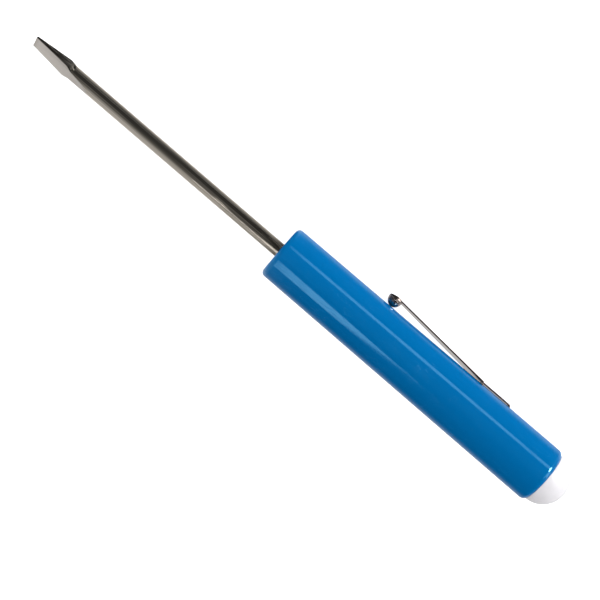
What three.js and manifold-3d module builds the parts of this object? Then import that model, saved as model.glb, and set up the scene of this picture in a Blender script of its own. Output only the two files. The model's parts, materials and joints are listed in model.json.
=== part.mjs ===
// A pocket screwdriver with a flat blade, a glossy moulded handle, a sprung pocket clip and a turning end cap.
//
// The tool is drawn along X: the blade points to -X, the handle's front face is at X = 0, and the cap is at the
// +X end. The clip stands on the +Y side. The finished tool is then rolled onto its clip, as it lies on a bench,
// and moved so that the middle of its footprint is the origin and the bench is Z = 0.

import * as THREE from "three";
import { mergeVertices } from "three/addons/utils/BufferGeometryUtils.js";
import Module from "manifold-3d";

const wasm = await Module();
wasm.setup();

// ---- Driving dimensions, in millimetres ----

const handleLength = 71.6;
const handleFrontRadius = 6.1;
const handleRearRadius = 6.35;
const frontEdgeRound = 1.0;
const rearEdgeRound = 1.3;
const solidFrontLength = 28; // the front of the handle is solid, and the rest is cored out from behind

const bladeRadius = 3.175 / 2; // eighth-inch rod
const bladeReach = 65.8; // from the handle's front face to the tip
const bladeInset = 25; // the length held inside the handle
const tipWidth = 2.93;
const tipThickness = 0.45;
const flareWidth = 3.54; // where the forged blade is widest
const flareDistance = 8.3; // from the tip to the widest place
const shoulderDistance = 10.4; // from the tip to where the forging ends and the round rod begins
const wedgeLength = 14.9; // the two ground flats run out here
const bladeRoll = THREE.MathUtils.degToRad(-27.5); // how the flats stand to the clip
const finRoll = THREE.MathUtils.degToRad(-25); // how the coined fins stand to the clip

const sheet = 0.3; // thickness of the clip's spring steel
const ballCentre = 24.7; // places along the handle
const armRoot = 48.3;
const shoulderFold = 49.3;
const tailFold = 57;
const armSlope = THREE.MathUtils.degToRad(4.35);
const armRootWidth = 4.6;
const armNeckWidth = 2.3;
const tongueWidth = 2.2;
const tongueLift = 0.15; // the tongue stands this far off the handle
const ballRadius = 1.56;
const ballRimRadius = 1.7;

const capRadius = 5.75;
const capHeight = 5.55; // from the handle's rear face to the top of the dome
const spigotRadius = 4.1;
const spigotLength = 7.5;

const slideGap = 0.1; // between the cap's spigot and its bore
const seatGap = 0.15; // between faces that rest together
const pressGap = 0.05; // between the blade and its bore
const roundSteps = 48; // facets round the blade and the cap
const handleSteps = 24; // facets round the handle, each wide enough to lie steady on a bench
const restGap = 0.04; // between the clip and the bench when the tool lies on the handle

// ---- Small tools ----

// A list of [along, radius] points on an arc, from one angle to another, in degrees from the along direction.
function arc(along, radius, size, from, to, steps) {
  const points = [];
  for (let i = 0; i <= steps; i++) {
    const angle = THREE.MathUtils.degToRad(from + ((to - from) * i) / steps);
    points.push([along + size * Math.cos(angle), radius + size * Math.sin(angle)]);
  }
  return points;
}

// Turns an outline of [along, radius] points about the X axis. The outline runs clockwise with along to the right.
function turned(outline, steps = roundSteps, start = 0) {
  const points = outline.map(([along, radius]) => new THREE.Vector2(radius, along));
  return new THREE.LatheGeometry(points, steps, start).rotateZ(-Math.PI / 2);
}

// A closed outline of [x, y] points, made thick along Z between two heights.
function plate(outline, low, high) {
  const shape = new THREE.Shape(outline.map(([x, y]) => new THREE.Vector2(x, y)));
  const options = { depth: high - low, bevelEnabled: false };
  return new THREE.ExtrudeGeometry(shape, options).translate(0, 0, low);
}

function block(xLow, xHigh, yLow, yHigh, zLow, zHigh) {
  const box = new THREE.BoxGeometry(xHigh - xLow, yHigh - yLow, zHigh - zLow);
  return box.translate((xLow + xHigh) / 2, (yLow + yHigh) / 2, (zLow + zHigh) / 2);
}

// A closed geometry as a solid for joining and cutting.
function solid(geometry) {
  const bare = new THREE.BufferGeometry();
  const loose = geometry.index ? geometry.toNonIndexed() : geometry;
  bare.setAttribute("position", loose.getAttribute("position"));
  const merged = mergeVertices(bare, 1e-4);
  const corners = merged.index.array;
  const kept = [];
  for (let i = 0; i < corners.length; i += 3) {
    const [a, b, c] = corners.subarray(i, i + 3);
    if (a !== b && b !== c && c !== a) kept.push(a, b, c);
  }
  const vertProperties = merged.getAttribute("position").array;
  return new wasm.Manifold(new wasm.Mesh({ numProp: 3, vertProperties, triVerts: new Uint32Array(kept) }));
}

function geometryOf(made) {
  const mesh = made.getMesh();
  const geometry = new THREE.BufferGeometry();
  geometry.setAttribute("position", new THREE.BufferAttribute(new Float32Array(mesh.vertProperties), 3));
  geometry.setIndex(new THREE.BufferAttribute(new Uint32Array(mesh.triVerts), 1));
  geometry.computeVertexNormals();
  return geometry;
}

function piece(name, geometry, material) {
  const mesh = new THREE.Mesh(geometry, material);
  mesh.name = name;
  return mesh;
}

// ---- Materials ----

const bluePlastic = new THREE.MeshStandardMaterial({ color: 0x0070b4, roughness: 0.18, metalness: 0 });
const whitePlastic = new THREE.MeshStandardMaterial({ color: 0xf4f4f2, roughness: 0.35, metalness: 0 });
const platedSteel = new THREE.MeshStandardMaterial({ color: 0xb9b2a6, roughness: 0.22, metalness: 1 });
const springSteel = new THREE.MeshStandardMaterial({ color: 0xb4aeaa, roughness: 0.2, metalness: 1 });

// ---- Where the pieces meet ----

const handleRadiusAt = (along) =>
  handleFrontRadius + ((handleRearRadius - handleFrontRadius) * along) / handleLength;

const boreRadius = bladeRadius + pressGap;
const cavityRadius = spigotRadius + slideGap;
const beadRadius = cavityRadius + 0.18; // the bead on the spigot snaps into a groove
const beadPlace = handleLength - 5.5;

// Heights from the tool's axis to the clip's sheet.
const tongueUnder = handleRadiusAt(armRoot) + tongueLift;
const tongueMiddle = tongueUnder + sheet / 2;
const hingePlace = armRoot + seatGap;
const armMiddleAt = (along) => tongueMiddle + (hingePlace - along) * Math.tan(armSlope);
const ballBottom = handleRadiusAt(ballCentre) + 0.08;
const rimTop = armMiddleAt(ballCentre + ballRadius) + sheet / 2 + 0.05;

// The roll that brings the ball's rim down to the bench beside the handle.
const rimReach = Math.hypot(rimTop, ballRimRadius);
const restRoll = Math.asin((handleRearRadius - restGap) / rimReach) - Math.atan2(ballRimRadius, rimTop);

// ---- Blade ----

const wingPlace = [8, 17];
const wingHeight = 0.5;
const wingThickness = 0.55;

// One of the four coined fins that stop the blade turning in the handle, standing up along +Y.
function wing(extra) {
  const [front, back] = wingPlace;
  const top = bladeRadius + wingHeight + extra;
  const outline = [
    [front - extra, bladeRadius - 0.5],
    [back + extra, bladeRadius - 0.5],
    [back + extra, top],
    [front + 2 - extra, top],
  ];
  const half = wingThickness / 2 + extra;
  return solid(plate(outline, -half, half));
}

function fourRound(one) {
  let joined = one;
  for (let quarter = 1; quarter < 4; quarter++) joined = joined.add(one.rotate([quarter * 90, 0, 0]));
  return joined;
}

function bladeGeometry() {
  const tip = -bladeReach;
  const clear = 4; // wider than any part of the blade
  const flareRadius = flareWidth / 2;
  const cornerRadius = 2.05; // the forging's sides are only a little round
  const rod = solid(
    turned([
      [tip, 0],
      [tip, bladeRadius],
      [bladeInset - 0.6, bladeRadius],
      [bladeInset, bladeRadius - 0.6],
      [bladeInset, 0],
    ]),
  );
  // The forged end spreads sideways, in a round shoulder that falls off in an S to the rod.
  const fall = (high) => {
    const points = [];
    for (let i = 0; i <= 8; i++) {
      const drop = (1 - Math.cos((Math.PI * i) / 8)) / 2;
      const along = tip + flareDistance + ((shoulderDistance - flareDistance) * i) / 8;
      points.push([along, high + (bladeRadius - 0.01 - high) * drop]);
    }
    return points;
  };
  const forging = solid(turned([[tip, 0], [tip, cornerRadius], ...fall(cornerRadius), [tip + wedgeLength, 0]]));
  // Ground flats, seen from the side, and the forging's two edges, seen from above.
  const flats = [
    [tip, tipThickness / 2],
    [tip + wedgeLength, bladeRadius],
    [bladeInset, bladeRadius],
  ];
  const edges = [
    [tip, tipWidth / 2],
    ...fall(flareRadius),
    [tip + wedgeLength, bladeRadius - 0.01],
  ];
  const bothSides = (half) => [...half, ...half.map(([x, y]) => [x, -y]).reverse()];
  const wedge = solid(plate(bothSides(flats), -clear, clear));
  const taper = solid(plate(bothSides(edges), -clear, clear).rotateX(Math.PI / 2));
  const made = rod.subtract(solid(block(tip - 1, tip + shoulderDistance, -clear, clear, -clear, clear)))
    .add(forging.intersect(taper))
    .intersect(wedge)
    .add(fourRound(wing(0)).rotate([THREE.MathUtils.radToDeg(finRoll - bladeRoll), 0, 0]));
  return geometryOf(made).rotateX(bladeRoll);
}

// ---- Handle ----

// The slots that the clip's prongs pass through, as [along low, along high, across low, across high].
const prongSlots = [
  [shoulderFold - seatGap, shoulderFold + sheet + seatGap, tongueWidth / 2, armRootWidth / 2 + seatGap],
  [shoulderFold - seatGap, shoulderFold + sheet + seatGap, -armRootWidth / 2 - seatGap, -tongueWidth / 2],
  [tailFold - sheet - seatGap, tailFold + seatGap, -tongueWidth / 2 - seatGap, tongueWidth / 2 + seatGap],
];

function handleGeometry() {
  const grooveHalf = 0.65;
  const grooveRadius = beadRadius + 0.12;
  const mouth = 0.4;
  const front = handleFrontRadius - frontEdgeRound;
  const rear = handleRearRadius - rearEdgeRound;
  const outline = [
    [0, boreRadius],
    ...arc(frontEdgeRound, front, frontEdgeRound, 180, 90, 6),
    ...arc(handleLength - rearEdgeRound, rear, rearEdgeRound, 90, 0, 7),
    [handleLength, cavityRadius + mouth],
    [handleLength - mouth, cavityRadius],
    [beadPlace + grooveHalf, cavityRadius],
    [beadPlace + grooveHalf, grooveRadius],
    [beadPlace - grooveHalf, grooveRadius],
    [beadPlace - grooveHalf, cavityRadius],
    ...arc(solidFrontLength + 1.5, cavityRadius - 1.5, 1.5, 90, 180, 4),
    [solidFrontLength, boreRadius],
    [0, boreRadius],
  ];
  // Each facet touches the true round surface along its middle, and one of them lies flat on the bench.
  const halfFacet = Math.PI / handleSteps;
  const facets = outline.map(([along, radius]) => [along, radius / Math.cos(halfFacet)]);
  let made = solid(turned(facets, handleSteps, restRoll + halfFacet));
  made = made.subtract(fourRound(wing(0.12)).rotate([THREE.MathUtils.radToDeg(finRoll), 0, 0]));
  for (const [xLow, xHigh, zLow, zHigh] of prongSlots) {
    made = made.subtract(solid(block(xLow, xHigh, cavityRadius - 1.5, handleRearRadius + 1, zLow, zHigh)));
  }
  return geometryOf(made);
}

// ---- Pocket clip ----

const clinchMiddle = 3.1; // height of the clinched prong ends inside the cored handle
const foldRadius = 0.5; // to the middle of the sheet

// A strip of sheet that follows a line of [x, y] points, made wide along Z.
function strip(line, zLow, zHigh) {
  const side = (sign) =>
    line.map(([x, y], i) => {
      const [xa, ya] = line[Math.max(i - 1, 0)];
      const [xb, yb] = line[Math.min(i + 1, line.length - 1)];
      const length = Math.hypot(xb - xa, yb - ya);
      const off = (sign * sheet) / 2 / length;
      return [x - (yb - ya) * off, y + (xb - xa) * off];
    });
  return solid(plate([...side(1), ...side(-1).reverse()], zLow, zHigh));
}

// The line of a prong: level at the tongue, folded down through the wall, and clinched back or forward inside.
function prongLine(from, fold, direction) {
  const legPlace = fold + (sheet / 2) * (direction < 0 ? -1 : 1);
  const turn = Math.sign(legPlace - from);
  const bend = (x, y, start, sweep) => arc(x, y, foldRadius, start, start + sweep, 5);
  const upper =
    turn > 0
      ? bend(legPlace - foldRadius, tongueMiddle - foldRadius, 90, -90)
      : bend(legPlace + foldRadius, tongueMiddle - foldRadius, 90, 90);
  const lower =
    direction > 0
      ? bend(legPlace + foldRadius, clinchMiddle + foldRadius, 180, 90)
      : bend(legPlace - foldRadius, clinchMiddle + foldRadius, 0, -90);
  return [[from, tongueMiddle], ...upper, ...lower, [legPlace + direction * 1.5, clinchMiddle]];
}

function clipBaseGeometry() {
  const baseFront = armRoot + 2 * seatGap;
  const neckCut = 0.12; // the slit that parts each prong from the tongue
  const tongue = strip(prongLine(baseFront, tailFold, -1), -tongueWidth / 2, tongueWidth / 2);
  const shoulderLine = prongLine(baseFront, shoulderFold, 1);
  const near = strip(shoulderLine, tongueWidth / 2 + neckCut, armRootWidth / 2);
  const far = strip(shoulderLine, -armRootWidth / 2, -tongueWidth / 2 - neckCut);
  const yoke = solid(
    block(baseFront, shoulderFold - foldRadius + sheet / 2, tongueUnder, tongueUnder + sheet,
      -armRootWidth / 2, armRootWidth / 2),
  );
  return geometryOf(tongue.add(near).add(far).add(yoke));
}

function clipArmGeometry() {
  const armEnd = ballCentre + ballRadius;
  const low = 0;
  const high = 20;
  // Seen from the side: a straight leaf that rises towards the ball.
  const leaf = strip([[ballCentre + 1, armMiddleAt(ballCentre + 1)], [armRoot, armMiddleAt(armRoot)]], -4, 4);
  // Seen from above: a leaf that narrows to the neck.
  const outline = [
    [ballCentre, armNeckWidth / 2],
    [armEnd, armNeckWidth / 2],
    [armRoot, armRootWidth / 2],
    [armRoot, -armRootWidth / 2],
    [armEnd, -armNeckWidth / 2],
    [ballCentre, -armNeckWidth / 2],
  ];
  const plan = solid(plate(outline, -high, low).rotateX(Math.PI / 2));
  // The ball is a deep stamped cup with a small rim, its round side against the handle.
  const inner = ballRadius - sheet;
  const centre = ballBottom + ballRadius;
  const cupOutline = [
    ...arc(centre, 0, ballRadius, 180, 90, 7),
    [rimTop - sheet, ballRadius],
    [rimTop - sheet, ballRimRadius],
    [rimTop, ballRimRadius],
    [rimTop, inner],
    ...arc(centre, 0, inner, 90, 180, 6),
  ];
  const place = (geometry) => solid(geometry.rotateZ(Math.PI / 2).translate(ballCentre, 0, 0));
  const cup = place(turned(cupOutline, 28));
  const hollow = place(turned([[centre, 0], [centre, inner], [rimTop + 1, inner], [rimTop + 1, 0]], 28));
  return geometryOf(leaf.intersect(plan).subtract(hollow).add(cup));
}

// ---- End cap ----

function capGeometry() {
  const base = handleLength + seatGap;
  const widest = base + 0.3;
  const domeRise = handleLength + capHeight - widest;
  const wall = 1.3;
  const inner = spigotRadius - 1.1;
  const dome = [];
  const roof = [];
  for (let i = 0; i <= 10; i++) {
    const angle = (Math.PI / 2) * (i / 10);
    dome.push([widest + domeRise * Math.sin(angle), capRadius * Math.cos(angle)]);
    roof.unshift([widest + (domeRise - wall) * Math.sin(angle), inner * Math.cos(angle)]);
  }
  const end = handleLength - spigotLength;
  const outline = [
    ...roof,
    [end, inner],
    [end, spigotRadius - 0.3],
    [end + 0.6, spigotRadius],
    [beadPlace - 0.5, spigotRadius],
    ...arc(beadPlace, beadRadius - 0.4, 0.4, 120, 60, 4),
    [beadPlace + 0.5, spigotRadius],
    [base, spigotRadius],
    [base, capRadius - 0.3],
    ...dome,
  ];
  let made = solid(turned(outline));
  const slit = solid(block(end - 1, handleLength - 2.5, -0.4, 0.4, -6, 6));
  made = made.subtract(slit).subtract(slit.rotate([90, 0, 0]));
  return geometryOf(made);
}

// ---- Assembly ----

const tool = new THREE.Group();
tool.add(
  piece("handle", handleGeometry(), bluePlastic),
  piece("blade", bladeGeometry(), platedSteel),
  piece("clip_base", clipBaseGeometry(), springSteel),
  piece("clip_arm", clipArmGeometry(), springSteel),
  piece("end_cap", capGeometry(), whitePlastic),
);
tool.rotation.x = -restRoll;

const box = new THREE.Box3().setFromObject(tool, true);
const middle = box.getCenter(new THREE.Vector3());
tool.position.set(-middle.x, -middle.y, -box.min.z);

const screwdriver = new THREE.Group();
screwdriver.add(tool);

export default screwdriver;
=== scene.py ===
"""The finished look of a pocket screwdriver: a plated blade, a glossy handle, a clip and a white end cap.

Each piece is made in the tool's own frame, in millimetres: X runs from the blade to the cap, with 0 at the
handle's front face, and Y points at the clip. The finished mesh is then put in its place in the frame of
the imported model.
"""

import json
import math

import bmesh
import bpy
from mathutils import Matrix, Vector


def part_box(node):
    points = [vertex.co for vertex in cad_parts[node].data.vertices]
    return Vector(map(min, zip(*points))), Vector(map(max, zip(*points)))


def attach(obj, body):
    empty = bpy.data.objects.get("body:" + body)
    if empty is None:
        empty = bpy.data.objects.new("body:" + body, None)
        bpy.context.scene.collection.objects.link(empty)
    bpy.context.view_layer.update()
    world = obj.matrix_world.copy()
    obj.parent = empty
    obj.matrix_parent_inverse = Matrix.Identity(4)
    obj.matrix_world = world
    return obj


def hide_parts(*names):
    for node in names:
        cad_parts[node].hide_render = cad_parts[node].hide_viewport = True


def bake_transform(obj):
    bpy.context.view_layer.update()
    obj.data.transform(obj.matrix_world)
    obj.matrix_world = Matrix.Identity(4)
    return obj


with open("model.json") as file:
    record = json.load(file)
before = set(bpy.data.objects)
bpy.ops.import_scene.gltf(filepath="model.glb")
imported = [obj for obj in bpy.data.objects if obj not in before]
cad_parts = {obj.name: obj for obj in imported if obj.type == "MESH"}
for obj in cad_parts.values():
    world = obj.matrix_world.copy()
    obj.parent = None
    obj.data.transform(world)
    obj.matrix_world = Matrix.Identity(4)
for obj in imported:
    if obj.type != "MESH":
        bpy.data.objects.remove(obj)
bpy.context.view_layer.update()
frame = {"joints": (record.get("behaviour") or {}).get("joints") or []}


# ---- The blade ----
# One drawn steel rod, plated bright. Its front end is forged a little wide, ground to two flats and two
# narrow sides, and squared off at the tip. Its rear end is held in the handle by four coined fins.

joints = {joint["name"]: joint for joint in frame["joints"]}
tool_axis_y, tool_axis_z = joints["cap_spin"]["pos_m"][1:]
handle_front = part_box("handle")[0].x
side_direction = -Vector(joints["clip_flex"]["axis"])
clip_direction = side_direction.cross(Vector((1, 0, 0)))
clip_roll = math.atan2(clip_direction.z, clip_direction.y)
tool_place = (
    Matrix.Translation((handle_front, tool_axis_y, tool_axis_z))
    @ Matrix.Rotation(clip_roll, 4, "X")
    @ Matrix.Scale(0.001, 4)
)

ROD_RADIUS = 3.175 / 2
TIP = -65.8
TIP_WIDTH = 2.93
TIP_THICKNESS = 0.45
WEDGE_LENGTH = 14.9
FORGING_RADIUS = 2.05
FLARE_WIDTH = 3.54  # where the forging is widest
FLARE_DISTANCE = 8.3  # from the tip to there
FLATS_ROLL = math.radians(-27.5)  # how the flats stand to the clip


def new_piece(name, shape, materials, place=tool_place):
    """Puts a finished bmesh in its place as an object, with its hard edges kept hard."""
    bmesh.ops.transform(shape, matrix=place, verts=shape.verts)
    mesh = bpy.data.meshes.new(name)
    shape.to_mesh(mesh)
    shape.free()
    mesh.shade_smooth()
    mesh.set_sharp_from_angle(angle=math.radians(28))
    for material in materials:
        mesh.materials.append(material)
    piece = bpy.data.objects.new(name, mesh)
    bpy.context.scene.collection.objects.link(piece)
    return piece


def arc(centre_x, centre_y, radius, start, end, steps):
    """Points on an arc, with its angles in degrees from the X direction."""
    angles = [math.radians(start + (end - start) * i / steps) for i in range(steps + 1)]
    return [(centre_x + radius * math.cos(a), centre_y + radius * math.sin(a)) for a in angles]


def turned(outline, steps=128, closed=False):
    """Spins an outline of (along, radius) points about the tool's axis. A closed outline makes a ring."""
    shape = bmesh.new()
    points = [shape.verts.new((x, radius, 0)) for x, radius in outline]
    edges = [shape.edges.new(pair) for pair in zip(points, points[1:])]
    if closed:
        edges.append(shape.edges.new((points[-1], points[0])))
    bmesh.ops.spin(
        shape, geom=points + edges, axis=(1, 0, 0), cent=(0, 0, 0), angle=math.tau, steps=steps,
        use_merge=True,
    )
    bmesh.ops.remove_doubles(shape, verts=shape.verts, dist=1e-4)
    bmesh.ops.recalc_face_normals(shape, faces=shape.faces)
    return shape


def grind(shape, point, normal, finish):
    """Cuts off everything on the normal's side of a plane, and closes the cut with a flat face."""
    cut = bmesh.ops.bisect_plane(
        shape, geom=shape.verts[:] + shape.edges[:] + shape.faces[:],
        plane_co=point, plane_no=normal, dist=1e-5, clear_outer=True,
    )["geom_cut"]
    rim = [item for item in cut if isinstance(item, bmesh.types.BMEdge)]
    for face in bmesh.ops.contextual_create(shape, geom=rim)["faces"]:
        face.material_index = finish


def soften(shape, edges, width):
    """Rounds edges off."""
    bmesh.ops.bevel(
        shape, geom=edges, offset=width, segments=2, profile=0.5, affect="EDGES",
        clamp_overlap=True, material=-1,
    )


def shoulder(high, low, start, end):
    """Points of an S-shaped fall from one radius to another."""
    steps = 14
    shares = [i / steps for i in range(steps + 1)]
    return [
        (start + (end - start) * share, low + (high - low) * (1 + math.cos(math.pi * share)) / 2)
        for share in shares
    ]


class Wire:
    """A shader socket that can be used in sums: wire * 2 + other adds the Math nodes that work it out."""

    def __init__(self, nodes, socket):
        self.nodes = nodes
        self.socket = socket

    def sum(self, operation, first, second):
        return self.nodes.node("ShaderNodeMath", {"operation": operation}, {0: first, 1: second})

    def __add__(self, other):
        return self.sum("ADD", self, other)

    def __radd__(self, other):
        return self.sum("ADD", other, self)

    def __sub__(self, other):
        return self.sum("SUBTRACT", self, other)

    def __rsub__(self, other):
        return self.sum("SUBTRACT", other, self)

    def __mul__(self, other):
        return self.sum("MULTIPLY", self, other)

    def __rmul__(self, other):
        return self.sum("MULTIPLY", other, self)


class Nodes:
    """The node tree of a material or a world being made."""

    def __init__(self, owner):
        owner.use_nodes = True
        self.tree = owner.node_tree

    def node(self, kind, settings, sockets, output=0):
        """Adds a node, with its settings and its sockets' values or links, and returns one output."""
        made = self.tree.nodes.new(kind)
        for setting, value in settings.items():
            setattr(made, setting, value)
        for socket, value in sockets.items():
            if isinstance(value, Wire):
                self.tree.links.new(value.socket, made.inputs[socket])
            else:
                made.inputs[socket].default_value = value
        return Wire(self, made.outputs[output])

    def between(self, value, low, high, new_low=0.0, new_high=1.0):
        """Maps a value from one range to another, smoothly, and holds it there outside the range."""
        return self.node(
            "ShaderNodeMapRange", {"interpolation_type": "SMOOTHSTEP"},
            {"Value": value, "From Min": low, "From Max": high, "To Min": new_low, "To Max": new_high},
        )

    def mix(self, share, first, second):
        return self.node(
            "ShaderNodeMix", {"data_type": "RGBA"}, {"Factor": share, "A": first, "B": second}, "Result"
        )


class Finish(Nodes):
    """A material being made. place is the surface point in the tool's own frame, in millimetres."""

    def __init__(self, name, **constants):
        self.material = bpy.data.materials.new(name)
        super().__init__(self.material)
        self.shader = self.tree.nodes["Principled BSDF"]
        for socket, value in constants.items():
            self.shader.inputs[socket.replace("_", " ").title().replace("Ior", "IOR")].default_value = value
        inverse = tool_place.inverted()
        rotation = inverse.to_3x3().normalized().to_euler()
        self.place = self.node(
            "ShaderNodeMapping", {"vector_type": "POINT"},
            {
                "Vector": self.node("ShaderNodeTexCoord", {}, {}, "Object"),
                "Location": inverse.translation, "Rotation": rotation, "Scale": inverse.to_scale(),
            },
        )

    def stretched(self, along, across):
        """The place, scaled along the tool and across it, so that a pattern on it is drawn out."""
        return self.node(
            "ShaderNodeVectorMath", {"operation": "MULTIPLY"}, {0: self.place, 1: (along, across, across)}
        )

    def noise(self, point, scale, detail=3.0):
        return self.node(
            "ShaderNodeTexNoise", {"noise_dimensions": "3D"},
            {"Vector": point, "Scale": scale, "Detail": detail, "Distortion": 0.0},
        )

    def scratches(self, point, scale, fineness, seed):
        """Hairline marks: the thin contour where a noise passes its middle, broken up by a second noise."""
        moved = self.node("ShaderNodeVectorMath", {"operation": "ADD"}, {0: point, 1: (seed, seed, seed)})
        line = self.noise(moved, scale, detail=2.0)
        off_middle = self.node("ShaderNodeMath", {"operation": "ABSOLUTE"}, {0: line - 0.5})
        thin = self.between(off_middle, 0.0, fineness, 1.0, 0.0)
        return thin * self.between(self.noise(moved, scale * 0.6, detail=1.0), 0.5, 0.62)

    def bump(self, height, distance, under=None):
        """A bump, with its distance in millimetres, over another bump if there is one."""
        sockets = {"Height": height, "Distance": distance * 0.001, "Strength": 1.0}
        if under:
            sockets["Normal"] = under
        return self.node("ShaderNodeBump", {}, sockets)

    def set(self, **wires):
        """Links what changes over the surface to the shader, and returns the finished material."""
        for socket, wire in wires.items():
            self.tree.links.new(wire.socket, self.shader.inputs[socket.replace("_", " ").title()])
        return self.material


def rod_plating():
    """Bright nickel over a drawn rod: fine lines along it, faint smears, and a few hairline scratches."""
    finish = Finish("rod_plating", metallic=1.0)
    lines = finish.noise(finish.stretched(0.04, 6.0), 1.0, detail=4.0)
    draw_lines_and_cup_shade = finish.between(finish.noise(finish.stretched(0.02, 2.4), 1.0, detail=1.0), 0.5, 0.6)
    smears = finish.noise(finish.stretched(0.12, 0.5), 1.0, detail=2.0)
    marks = finish.scratches(finish.stretched(0.06, 1.0), 1.1, 0.006, 3.0)
    streaks = finish.between(finish.noise(finish.stretched(0.012, 4.5), 1.0, detail=2.0), 0.38, 0.62)
    tint = finish.mix(0.3 * smears + 0.7 * streaks, (0.4, 0.36, 0.29, 1), (0.78, 0.72, 0.64, 1))
    roughness = 0.01 + 0.012 * lines + 0.01 * finish.between(smears, 0.45, 0.7) + 0.03 * marks
    height = 0.4 * lines + 4 * draw_lines_and_cup_shade - 0.3 * marks
    return finish.set(base_color=tint, roughness=roughness, normal=finish.bump(height, 0.005))


def side_steel():
    """The narrow ground sides: lines and ridges drawn out along the blade."""
    finish = Finish("side_steel", metallic=1.0)
    ridges = finish.noise(finish.stretched(0.22, 3.2), 1.0, detail=3.0)
    lines = finish.noise(finish.stretched(0.1, 14.0), 1.0, detail=2.0)
    streaks = finish.between(finish.noise(finish.stretched(0.06, 3.0), 1.0, detail=1.0), 0.5, 0.6)
    tint = finish.mix(0.3 * lines + 0.7 * streaks, (0.1, 0.09, 0.08, 1), (0.68, 0.62, 0.56, 1))
    height = ridges + 0.12 * lines
    return finish.set(base_color=tint, roughness=0.07 + 0.1 * lines, normal=finish.bump(height, 0.2))


def ground_steel():
    """The ground flats: plated over the grinding lines, which run straight across the blade."""
    finish = Finish("ground_steel", metallic=1.0)
    across = finish.noise(finish.stretched(9.0, 0.25), 1.0, detail=4.0)
    wear = finish.noise(finish.place, 1.6, detail=3.0)
    along = finish.node("ShaderNodeSeparateXYZ", {}, {0: finish.place}, "X")
    near_tip = finish.between(along + 0.5 * wear, TIP + 0.3, TIP + 1.3, 1.0, 0.0)
    tint = finish.mix(0.4 * wear + 0.45 * near_tip, (0.75, 0.7, 0.65, 1), (0.54, 0.5, 0.46, 1))
    roughness = 0.27 + 0.12 * across + 0.1 * near_tip
    return finish.set(base_color=tint, roughness=roughness, normal=finish.bump(across, 0.01))


fin_start, fin_end, fin_height = 8, 17, 0.5
blade_end, end_chamfer = 25, 0.6
rings = (
    -54.6, -50, -30, -10, 0, fin_start - 0.4, fin_start, fin_start + 2, fin_end, blade_end - end_chamfer
)
blank = turned(
    [(TIP, 0), (TIP, FORGING_RADIUS)]
    + shoulder(FORGING_RADIUS, ROD_RADIUS, TIP + FLARE_DISTANCE - 0.2, TIP + FLARE_DISTANCE + 1.9)
    + [(x, ROD_RADIUS) for x in rings]
    + [(blade_end, ROD_RADIUS - end_chamfer), (blade_end, 0)],
    steps=120,
)
flat_rise = (ROD_RADIUS - TIP_THICKNESS / 2) / WEDGE_LENGTH
side_rise = (FLARE_WIDTH - TIP_WIDTH) / 2 / FLARE_DISTANCE
for side in (1, -1):
    grind(blank, (TIP, side * TIP_THICKNESS / 2, 0), (-flat_rise, side, 0), finish=1)
    grind(blank, (TIP, 0, side * TIP_WIDTH / 2), (-side_rise, 0, side), finish=2)
softened_end = TIP + WEDGE_LENGTH - 5
corner_width = 0.06
corners = [
    edge for edge in blank.edges
    if len(edge.link_faces) == 2
    and max(vert.co.x for vert in edge.verts) < softened_end
    and edge.calc_face_angle() > math.radians(24)
]
soften(blank, corners, corner_width)


def from_fin(face):
    """Degrees from the middle of a face to the nearest of the four fins."""
    middle = face.calc_center_median()
    return abs((math.degrees(math.atan2(middle.z, middle.y)) + 45) % 90 - 45)


fin_half_angle = 9
fin_faces = [
    face for face in blank.faces
    if fin_start < face.calc_center_median().x < fin_end and from_fin(face) < fin_half_angle
]
for vert in {
    item for item in bmesh.ops.extrude_face_region(blank, geom=fin_faces)["geom"]
    if isinstance(item, bmesh.types.BMVert)
}:
    outwards = Vector((0, vert.co.y, vert.co.z)).normalized()
    vert.co += outwards * (fin_height if vert.co.x > fin_start + 0.5 else 0.05)
bmesh.ops.delete(blank, geom=fin_faces, context="FACES_ONLY")
bmesh.ops.rotate(blank, cent=(0, 0, 0), matrix=Matrix.Rotation(FLATS_ROLL, 3, "X"), verts=blank.verts)
blade = new_piece("blade_steel", blank, [rod_plating(), ground_steel(), side_steel()])
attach(blade, "handle_body")
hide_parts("blade")


# ---- The handle ----
# One injection moulding in glossy blue plastic, solid round the blade and cored out from behind, with a
# little draft towards its front. Three slots in its wall take the clip's prongs.

HANDLE_LENGTH = (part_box("handle")[1].x - handle_front) * 1000
FRONT_RADIUS = 6.1
REAR_RADIUS = 6.35
CAVITY_RADIUS = 4.2
CLIP_SHEET = 0.3
SHOULDER_FOLD = 49.3
TAIL_FOLD = 57
TONGUE_WIDTH = 2.2
HEEL_WIDTH = 4.6


def handle_radius(x):
    """The handle's radius at a place along it, which grows towards the rear."""
    return FRONT_RADIUS + (REAR_RADIUS - FRONT_RADIUS) * x / HANDLE_LENGTH


def carve(piece, boxes):
    """Cuts boxes, each given as two corners in the tool's frame, out of a piece."""
    cutters = bmesh.new()
    for low, high in boxes:
        low, high = Vector(low), Vector(high)
        size = Matrix.Diagonal((*(high - low), 1))
        bmesh.ops.create_cube(cutters, size=1, matrix=Matrix.Translation((low + high) / 2) @ size)
    cutter = new_piece("cutter", cutters, [])
    modifier = piece.modifiers.new("slots", "BOOLEAN")
    modifier.operation = "DIFFERENCE"
    modifier.solver = "EXACT"
    modifier.object = cutter
    cut = bpy.data.meshes.new_from_object(piece.evaluated_get(bpy.context.evaluated_depsgraph_get()))
    piece.modifiers.clear()
    old = piece.data
    piece.data = cut
    bpy.data.meshes.remove(old)
    bpy.data.objects.remove(cutter)


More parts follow.
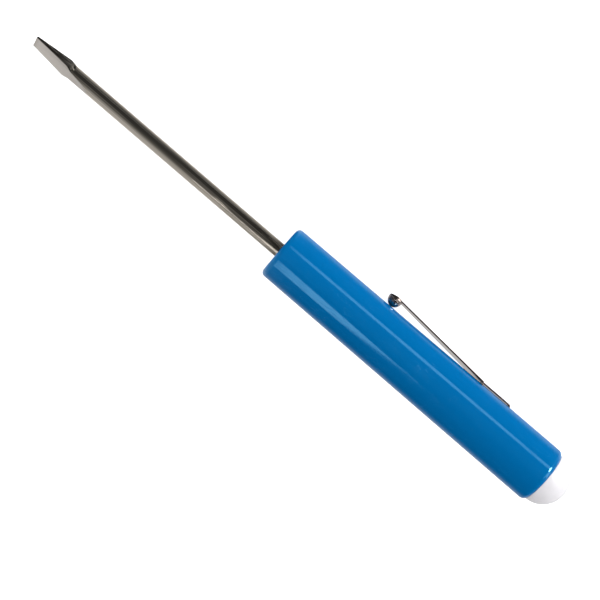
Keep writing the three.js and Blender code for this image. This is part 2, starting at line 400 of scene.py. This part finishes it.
def handle_plastic():
    """Glossy moulded plastic: an even colour, a slight orange peel, and hairlines from pockets."""
    finish = Finish("handle_plastic", specular_ior_level=1.0, specular_tint=(0.3, 0.75, 1, 1))
    flow = finish.noise(finish.stretched(0.05, 0.25), 1.0, detail=2.0)
    peel = finish.noise(finish.place, 0.9, detail=2.0)
    grain = finish.noise(finish.place, 14.0, detail=3.0)
    marks = finish.scratches(finish.stretched(0.3, 1.0), 0.5, 0.004, 7.0)
    cross_marks = finish.scratches(finish.stretched(1.0, 0.35), 0.4, 0.003, 19.0)
    rubbed = finish.between(finish.noise(finish.place, 0.22, detail=3.0), 0.5, 0.68)
    tint = finish.mix(flow, (0.0, 0.16, 0.45, 1), (0.0, 0.17, 0.475, 1))
    worn = finish.mix(0.25 * marks + 0.18 * cross_marks, tint, (0.03, 0.24, 0.62, 1))
    roughness = 0.06 + 0.03 * grain + 0.04 * rubbed + 0.25 * marks + 0.2 * cross_marks
    skin = finish.bump(peel, 0.002)
    hairs = finish.bump(0.25 * grain - marks - cross_marks, 0.002, under=skin)
    return finish.set(base_color=worn, roughness=roughness, normal=hairs)


front_round, rear_round = 1.05, 1.25
bore = ROD_RADIUS + 0.04
cavity_start = 28
groove_middle, groove_half = HANDLE_LENGTH - 5.5, 0.65
side_places = (front_round + 0.12, 1.6, 3, *range(6, 70, 4), HANDLE_LENGTH - rear_round - 0.12)
handle_outline = (
    [(0.25, bore), (0, bore + 0.25)]
    + arc(front_round, handle_radius(front_round) - front_round, front_round, 180, 90, 12)
    + [(x, handle_radius(x)) for x in side_places]
    + arc(HANDLE_LENGTH - rear_round, REAR_RADIUS - rear_round, rear_round, 90, 0, 14)
    + [(HANDLE_LENGTH, CAVITY_RADIUS + 0.4), (HANDLE_LENGTH - 0.4, CAVITY_RADIUS)]
    + [(groove_middle + groove_half, r) for r in (CAVITY_RADIUS, CAVITY_RADIUS + 0.3)]
    + [(groove_middle - groove_half, r) for r in (CAVITY_RADIUS + 0.3, CAVITY_RADIUS)]
    + arc(cavity_start + 1.5, CAVITY_RADIUS - 1.5, 1.5, 90, 180, 6)
    + [(cavity_start, bore)]
)
handle = new_piece("handle_moulding", turned(handle_outline, steps=160, closed=True), [handle_plastic()])
slot_play = 0.08
slot_depth = CAVITY_RADIUS - 1.5
carve(handle, [
    ((SHOULDER_FOLD - slot_play, slot_depth, TONGUE_WIDTH / 2),
     (SHOULDER_FOLD + CLIP_SHEET + slot_play, REAR_RADIUS + 1, HEEL_WIDTH / 2 + slot_play)),
    ((SHOULDER_FOLD - slot_play, slot_depth, -HEEL_WIDTH / 2 - slot_play),
     (SHOULDER_FOLD + CLIP_SHEET + slot_play, REAR_RADIUS + 1, -TONGUE_WIDTH / 2)),
    ((TAIL_FOLD - CLIP_SHEET - slot_play, slot_depth, -TONGUE_WIDTH / 2 - slot_play),
     (TAIL_FOLD + slot_play, REAR_RADIUS + 1, TONGUE_WIDTH / 2 + slot_play)),
])
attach(handle, "handle_body")
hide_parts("handle")


# ---- The pocket clip ----
# One stamping of plated spring steel. The arm tapers to a deep round cup whose ball side presses on the
# handle. At the heel two shoulder prongs go down through the wall, and the tongue runs on to a third.

CLIP_LIFT = 0.15  # the tongue stands this far off the handle
BALL_CENTRE = 24.7
BALL_RADIUS = 1.56
RIM_RADIUS = 1.6
ARM_ROOT = 48.3
ARM_SLOPE = math.radians(4.35)
clip_level = handle_radius(ARM_ROOT) + CLIP_LIFT + CLIP_SHEET / 2
hinge_x = (joints["clip_flex"]["pos_m"][0] - handle_front) * 1000


def clip_steel():
    """Rolled spring steel, plated bright: fine lines along the strip, smears and a few scratches, and
    painted shade, mottled dark brown, over the cup where it sits against the handle.
    """
    finish = Finish("clip_steel", metallic=1.0)
    lines = finish.noise(finish.stretched(0.06, 8.0), 1.0, detail=3.0)
    smears = finish.noise(finish.place, 0.8, detail=2.0)
    marks = finish.scratches(finish.stretched(0.5, 1.0), 1.5, 0.008, 11.0)
    plain = finish.mix(smears, (0.55, 0.48, 0.44, 1), (0.66, 0.59, 0.55, 1))
    mottle = finish.between(finish.noise(finish.place, 2.6, detail=4.0), 0.4, 0.58)
    along = finish.node("ShaderNodeSeparateXYZ", {}, {0: finish.place}, "X")
    # Painted shade: the cup, where it sits against the handle, is darkened to a mottled dark brown, which
    # also dims the handle's reflection in it.
    draw_lines_and_cup_shade = finish.between(along + 1.2 * (mottle - 0.5), BALL_CENTRE + 0.8, BALL_CENTRE)
    tint = finish.mix(draw_lines_and_cup_shade * (1 - 0.6 * mottle), plain, (0.16, 0.11, 0.1, 1))
    roughness = 0.09 + 0.08 * lines + 0.05 * smears + 0.2 * marks + 0.08 * draw_lines_and_cup_shade
    skin = finish.bump(draw_lines_and_cup_shade * mottle, 0.03)
    hairs = finish.bump(0.5 * lines - marks, 0.004, under=skin)
    return finish.set(base_color=tint, roughness=roughness, normal=hairs)


def sheared_steel():
    """The cut edges of the strip: torn, unplated and darker."""
    finish = Finish("sheared_steel", metallic=1.0)
    tears = finish.noise(finish.stretched(7.0, 1.5), 1.0, detail=3.0)
    tint = finish.mix(tears, (0.1, 0.075, 0.065, 1), (0.24, 0.18, 0.16, 1))
    return finish.set(base_color=tint, roughness=0.22 + 0.2 * tears, normal=finish.bump(tears, 0.012))


def arm_level(x):
    """Height of the middle of the sheet above the tool's axis."""
    return clip_level + max(0, hinge_x - x) * math.tan(ARM_SLOPE)


arm_rows, arm_columns = 30, 12
neck_angle = math.radians(45)  # the arm meets the cup over this much of its rim, to either side
strip_end = SHOULDER_FOLD - 0.35
strip = bmesh.new()
bmesh.ops.create_grid(strip, x_segments=arm_rows, y_segments=arm_columns, size=1)
for vert in strip.verts:
    share = (vert.co.x + 1) / 2
    column = vert.co.y
    neck_x = BALL_CENTRE + RIM_RADIUS * math.cos(column * neck_angle)
    neck_z = RIM_RADIUS * math.sin(column * neck_angle)
    # The middle half of the columns is as wide as the tongue; the outer quarters make the shoulders.
    beyond_tongue = max(0, abs(column) * 2 - 1)
    heel_z = math.copysign(
        TONGUE_WIDTH / 2 * min(1, abs(column) * 2) + (HEEL_WIDTH - TONGUE_WIDTH) / 2 * beyond_tongue,
        column,
    )
    vert.co.x = neck_x + (strip_end - neck_x) * share
    vert.co.z = neck_z + (heel_z - neck_z) * share
    vert.co.y = arm_level(vert.co.x)


def heel_edges(low, high):
    """The boundary edges at the heel end of the strip, between two places across it."""
    return [
        edge for edge in strip.edges
        if edge.is_boundary
        and min(vert.co.x for vert in edge.verts) > strip_end - 0.01
        and low < (edge.verts[0].co.z + edge.verts[1].co.z) / 2 < high
    ]


def run_on(edges, path):
    """Extrudes a row of edges along a path of (x, height) points."""
    for x, height in path:
        made = bmesh.ops.extrude_edge_only(strip, edges=edges)["geom"]
        edges = [item for item in made if isinstance(item, bmesh.types.BMEdge)]
        for vert in {vert for edge in edges for vert in edge.verts}:
            vert.co.x = x
            vert.co.y = height


FOLD_RADIUS = 0.45
CLINCH_LEVEL = 3.1  # where the prongs are bent over inside the handle
clinch_length = 1.5
half_tongue = TONGUE_WIDTH / 2
shoulder_leg = SHOULDER_FOLD + CLIP_SHEET / 2
tail_leg = TAIL_FOLD - CLIP_SHEET / 2
edge_sets = [
    heel_edges(half_tongue, HEEL_WIDTH),
    heel_edges(-HEEL_WIDTH, -half_tongue),
    heel_edges(-half_tongue, half_tongue),
]
for edges in edge_sets[:2]:
    run_on(
        edges,
        arc(shoulder_leg - FOLD_RADIUS, clip_level - FOLD_RADIUS, FOLD_RADIUS, 80, 0, 6)
        + arc(shoulder_leg + FOLD_RADIUS, CLINCH_LEVEL + FOLD_RADIUS, FOLD_RADIUS, 180, 270, 6)
        + [(shoulder_leg + clinch_length, CLINCH_LEVEL)],
    )
tongue_places = [SHOULDER_FOLD + 0.4 * i for i in range(1, 18)]
run_on(
    edge_sets[2],
    [(x, clip_level) for x in tongue_places if x < tail_leg - FOLD_RADIUS]
    + arc(tail_leg - FOLD_RADIUS, clip_level - FOLD_RADIUS, FOLD_RADIUS, 90, 0, 7)
    + arc(tail_leg - FOLD_RADIUS, CLINCH_LEVEL + FOLD_RADIUS, FOLD_RADIUS, 0, -90, 6)
    + [(tail_leg - clinch_length, CLINCH_LEVEL)],
)


def ring_fall(reach):
    """How far the cup's rim lies below its middle: it follows the arm, and droops at its free end."""
    return (math.tan(ARM_SLOPE) if reach > 0 else -0.16) * reach


# The cup hangs from a ring that shares its points with the end of the arm.
ball_gap = 0.06  # between the cup and the handle
ball_bottom = handle_radius(BALL_CENTRE) + ball_gap + CLIP_SHEET / 2
rim_steps = round(math.tau / (neck_angle * 2 / arm_columns))
rim_plane = Matrix.Rotation(math.radians(-90), 4, "X")
ring = bmesh.ops.create_circle(strip, segments=rim_steps, radius=RIM_RADIUS, matrix=rim_plane)["verts"]
for vert in ring:
    vert.co.y = arm_level(BALL_CENTRE) - ring_fall(vert.co.x)
    vert.co.x += BALL_CENTRE
rim_level = arm_level(BALL_CENTRE)
wall = BALL_RADIUS - CLIP_SHEET / 2
ball_middle = ball_bottom + wall
ring_edges = list({edge for vert in ring for edge in vert.link_edges})
cup_profile = [
    (rim_level - 0.02, wall + 0.06), (rim_level - 0.1, wall + 0.04), (rim_level - 0.3, wall + 0.06),
    (ball_middle + 0.25 * (rim_level - ball_middle), wall + 0.04),
    *arc(ball_middle, 0, wall, 90, 174, 12),
]
for height, radius in cup_profile:
    made = bmesh.ops.extrude_edge_only(strip, edges=ring_edges)["geom"]
    ring_edges = [item for item in made if isinstance(item, bmesh.types.BMEdge)]
    for vert in {vert for edge in ring_edges for vert in edge.verts}:
        outwards = Vector((vert.co.x - BALL_CENTRE, 0, vert.co.z)).normalized() * radius
        tilt = ring_fall(outwards.x) * max(0, 1 - (rim_level - height) * 2)
        vert.co = (BALL_CENTRE + outwards.x, height - tilt, outwards.z)
bmesh.ops.contextual_create(strip, geom=ring_edges)
bmesh.ops.remove_doubles(strip, verts=strip.verts, dist=0.02)
bmesh.ops.recalc_face_normals(strip, faces=strip.faces)

# The sheet is thickened inwards from its outer side, so the arm's faces must look away from the handle.
beside_cup = BALL_CENTRE + 5.3
upwards = sum(face.normal.y for face in strip.faces if face.calc_center_median().x > beside_cup)
if upwards < 0:
    bmesh.ops.reverse_faces(strip, faces=strip.faces)
for vert in strip.verts:
    vert.co += vert.normal * (CLIP_SHEET / 2)
bmesh.ops.solidify(strip, geom=strip.faces[:], thickness=CLIP_SHEET)
bmesh.ops.recalc_face_normals(strip, faces=strip.faces)
sheared = [
    edge for edge in strip.edges
    if len(edge.link_faces) == 2 and edge.calc_face_angle() > math.radians(60)
]
for face in strip.faces:
    middle = face.calc_center_median()
    past_cup = middle.x > BALL_CENTRE + 1.3 and abs(face.normal.z) > 0.8
    from_cup = Vector((middle.x - BALL_CENTRE, 0, middle.z)).length
    at_rim = middle.y > rim_level - 0.2 and from_cup > RIM_RADIUS - 0.03
    face.material_index = int(past_cup or (at_rim and abs(face.normal.y) < 0.4))
sheared_width = 0.05
soften(strip, sheared, sheared_width)
clip = new_piece("clip_spring", strip, [clip_steel(), sheared_steel()])
clip_start = tool_place @ Vector((hinge_x + 0.6, clip_level, 0))
clip_end = tool_place @ Vector((hinge_x - 1.2, clip_level, 0))
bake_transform(clip)
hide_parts("clip_arm", "clip_base")


# ---- The end cap ----
# One white moulding that fills the handle's rear end: a dome, with a split spigot whose bead snaps into a
# groove in the handle, so that it can turn there.

CAP_RADIUS = 5.75
CAP_HEIGHT = (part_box("end_cap")[1].x - handle_front) * 1000 - HANDLE_LENGTH
SPIGOT_RADIUS = 4.1
spigot_end = HANDLE_LENGTH - 7.5


def cap_plastic():
    """Satin white plastic, a little uneven like any small moulding, and marked by handling."""
    finish = Finish("cap_plastic", specular_ior_level=0.45)
    cloud = finish.noise(finish.place, 0.35, detail=2.0)
    skin = finish.noise(finish.place, 9.0, detail=3.0)
    marks = finish.scratches(finish.place, 0.7, 0.005, 31.0)
    tint = finish.mix(cloud, (0.88, 0.86, 0.9, 1), (0.93, 0.915, 0.945, 1))
    scuffed = finish.mix(0.15 * marks, tint, (0.6, 0.59, 0.57, 1))
    roughness = 0.24 + 0.06 * skin + 0.15 * marks
    hairs = finish.bump(0.4 * skin - marks, 0.004)
    return finish.set(base_color=scuffed, roughness=roughness, normal=hairs)


cap_base = HANDLE_LENGTH + 0.02
dome_foot = HANDLE_LENGTH - 0.1
lip_gap = 0.03  # between the dome's lip and the handle's rounded rim
lip_reach = (CAP_RADIUS - lip_gap - (REAR_RADIUS - rear_round)) / (rear_round + lip_gap)
lip_start = math.degrees(math.acos(lip_reach))
dome_rise = HANDLE_LENGTH + CAP_HEIGHT - dome_foot
dome_steps = 28
dome_angles = [math.radians(90 * i / dome_steps) for i in range(dome_steps + 1)]
roof_radius, roof_wall = SPIGOT_RADIUS - 1.1, 1.3
cap_outline = (
    [
        (dome_foot + (dome_rise - roof_wall) * math.sin(a), roof_radius * math.cos(a))
        for a in reversed(dome_angles[::4])
    ]
    + [(spigot_end, roof_radius), (spigot_end, SPIGOT_RADIUS - 0.3), (spigot_end + 0.6, SPIGOT_RADIUS)]
    + [(groove_middle - 0.5, SPIGOT_RADIUS)]
    + arc(groove_middle, SPIGOT_RADIUS - 0.12, 0.4, 140, 40, 8)
    + [(groove_middle + 0.5, SPIGOT_RADIUS), (cap_base, SPIGOT_RADIUS)]
    + arc(HANDLE_LENGTH - rear_round, REAR_RADIUS - rear_round, rear_round + lip_gap, 0, 90 - lip_start, 6)
    + [(dome_foot + dome_rise * math.sin(a), CAP_RADIUS * math.cos(a)) for a in dome_angles]
)
cap = new_piece("cap_dome", turned(cap_outline, steps=128), [cap_plastic()])
slit_end = HANDLE_LENGTH - 2.5
slit_half, past_spigot = 0.4, 6
carve(cap, [
    ((spigot_end - 1, -past_spigot, -slit_half), (slit_end, past_spigot, slit_half)),
    ((spigot_end - 1, -slit_half, -past_spigot), (slit_end, slit_half, past_spigot)),
])
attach(cap, "cap")
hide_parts("end_cap")


# ---- The bench ----
# A wide white board, lit from beneath as well as from above, so that shadows on it all but vanish.

board = bmesh.new()
bmesh.ops.create_grid(board, x_segments=1, y_segments=1, size=3.0)
board_finish = Finish(
    "white_board", base_color=(0.9, 0.9, 0.9, 1), roughness=0.9,
    emission_color=(1, 1, 1, 1), emission_strength=0.9,
)
bench = new_piece("white_board", board, [board_finish.material], Matrix.Translation((0, 0, -0.0001)))
bench.visible_glossy = False


# ---- The studio ----
# A wide soft lamp lights the tool from the front, one behind the dome lights its end, and a small bulb
# glints in the rounds. The streaks along the tool are the pale boards and panels of a dark room.

clip_angle = math.radians(97.5)  # from the clip's side round to the camera's
view_turn = clip_angle + clip_roll
towards_camera = Vector((0, math.cos(view_turn), math.sin(view_turn)))
up_the_picture = towards_camera.cross(Vector((1, 0, 0)))


def studio_light(name, degrees, along, distance, width, length, power, unseen="visible_glossy"):
    """An elliptical light that faces the tool's axis, turned about it by degrees from the camera's side."""
    turn = math.radians(degrees)
    out = towards_camera * math.cos(turn) + up_the_picture * math.sin(turn)
    data = bpy.data.lights.new(name, "AREA")
    data.shape = "ELLIPSE"
    data.size = length
    data.size_y = width
    data.energy = power
    lamp = bpy.data.objects.new(name, data)
    side = out.cross(Vector((1, 0, 0)))
    turned_frame = Matrix((Vector((1, 0, 0)), side, out)).transposed().to_4x4()
    place = Vector((along, tool_axis_y, tool_axis_z)) + out * distance
    lamp.matrix_world = Matrix.Translation(place) @ turned_frame
    setattr(lamp, unseen, False)
    bpy.context.scene.collection.objects.link(lamp)


studio_light("key", degrees=5, along=0.0, distance=0.8, width=0.7, length=0.9, power=4.1)
studio_light("end", degrees=-62, along=0.55, distance=0.3, width=0.3, length=0.3, power=0.95)
studio_light(
    "bulb", degrees=39, along=0.17, distance=0.16, width=0.06, length=0.12, power=0.45,
    unseen="visible_diffuse",
)

# What shines in the tool: a dark room behind the camera, pale boards beyond the tool, and two lit panels,
# one long and narrow, one short and wide. turn is in degrees about the tool from the camera's side, and
# along is the share of a direction that runs towards the cap. The backdrop itself is white.
world = bpy.data.worlds.new("studio")
bpy.context.scene.world = world
room = Nodes(world)
looking = room.node("ShaderNodeTexCoord", {}, {}, "Generated")


def share_along(direction):
    dot = {"operation": "DOT_PRODUCT"}
    return room.node("ShaderNodeVectorMath", dot, {0: looking, 1: direction}, "Value")


turn = room.node(
    "ShaderNodeMath", {"operation": "ARCTAN2"},
    {0: share_along(up_the_picture), 1: share_along(towards_camera)},
) * (180 / math.pi)
along = share_along((1, 0, 0))
blade_room = (
    0.045 + 0.125 * room.between(turn, 12, -18) + 0.35 * room.between(turn, -30, -68)
    + 0.2 * room.between(turn, -100, -135)
    + 0.7 * room.between(turn, 68, 136) * room.between(along, -0.45, -0.3)
)
handle_room = 0.01 + 0.5 * room.between(turn, 106, 132) + 0.62 * room.between(turn, -112, -158)
tip_board = 0.07 * room.between(along, -0.25, -0.29) * room.between(turn, 0, -25)
end_board = 2.4 * (
    room.between(along, 0.5, 0.66) * room.between(turn - 60 * along, -52, -36)
    * room.between(turn, 64, 48)
)
shoulder_board = 0.35 * (
    room.between(along, 0.22, 0.3) * room.between(along, 0.62, 0.5) * room.between(turn, 35, 60)
)
narrow_panel = 2.0 * (
    room.between(turn - 13 * along, 31.3, 34.3) * room.between(turn - 13 * along, 44.5, 41.5)
    * room.between(along, -0.009, -0.005) * room.between(along, 0.164, 0.158)
)
wide_panel = 2.65 * (
    room.between(turn, -64, -61) * room.between(turn - 535 * along, -82, -77.5)
    * room.between(turn + 95 * along, -31.5, -34.5) * room.between(along, -0.0125, -0.0105)
)
at_blade = room.between(along, -0.006, -0.016)
shine = (
    at_blade * blade_room + (1 - at_blade) * handle_room
    + tip_board + end_board + shoulder_board + narrow_panel + wide_panel
)
seen = room.node("ShaderNodeLightPath", {}, {}, "Is Camera Ray")
backdrop = 0.95
strength = seen * backdrop + (1 - seen) * shine
room.tree.links.new(strength.socket, room.tree.nodes["Background"].inputs["Strength"])
room.tree.nodes["Background"].inputs["Color"].default_value = (1, 1, 1, 1)

camera_data = bpy.data.cameras.new("camera")
camera_data.sensor_width = 36
camera_data.lens = 114
camera = bpy.data.objects.new("camera", camera_data)
bpy.context.scene.collection.objects.link(camera)
yaw = math.radians(1.0)
picture_roll = math.radians(40.65)
back = towards_camera * math.cos(yaw) - Vector((1, 0, 0)) * math.sin(yaw)
level = Vector((1, 0, 0)) * math.cos(yaw) + towards_camera * math.sin(yaw)
right = level * math.cos(picture_roll) + up_the_picture * math.sin(picture_roll)
up = up_the_picture * math.cos(picture_roll) - level * math.sin(picture_roll)
camera_distance = 0.39
eye = (
    Vector((handle_front + 0.003, tool_axis_y, tool_axis_z))
    - up_the_picture * 0.005
    + towards_camera * camera_distance
)
camera.matrix_world = Matrix.Translation(eye) @ Matrix((right, up, back)).transposed().to_4x4()
bpy.context.scene.camera = camera
bpy.context.scene.view_settings.view_transform = "Standard"
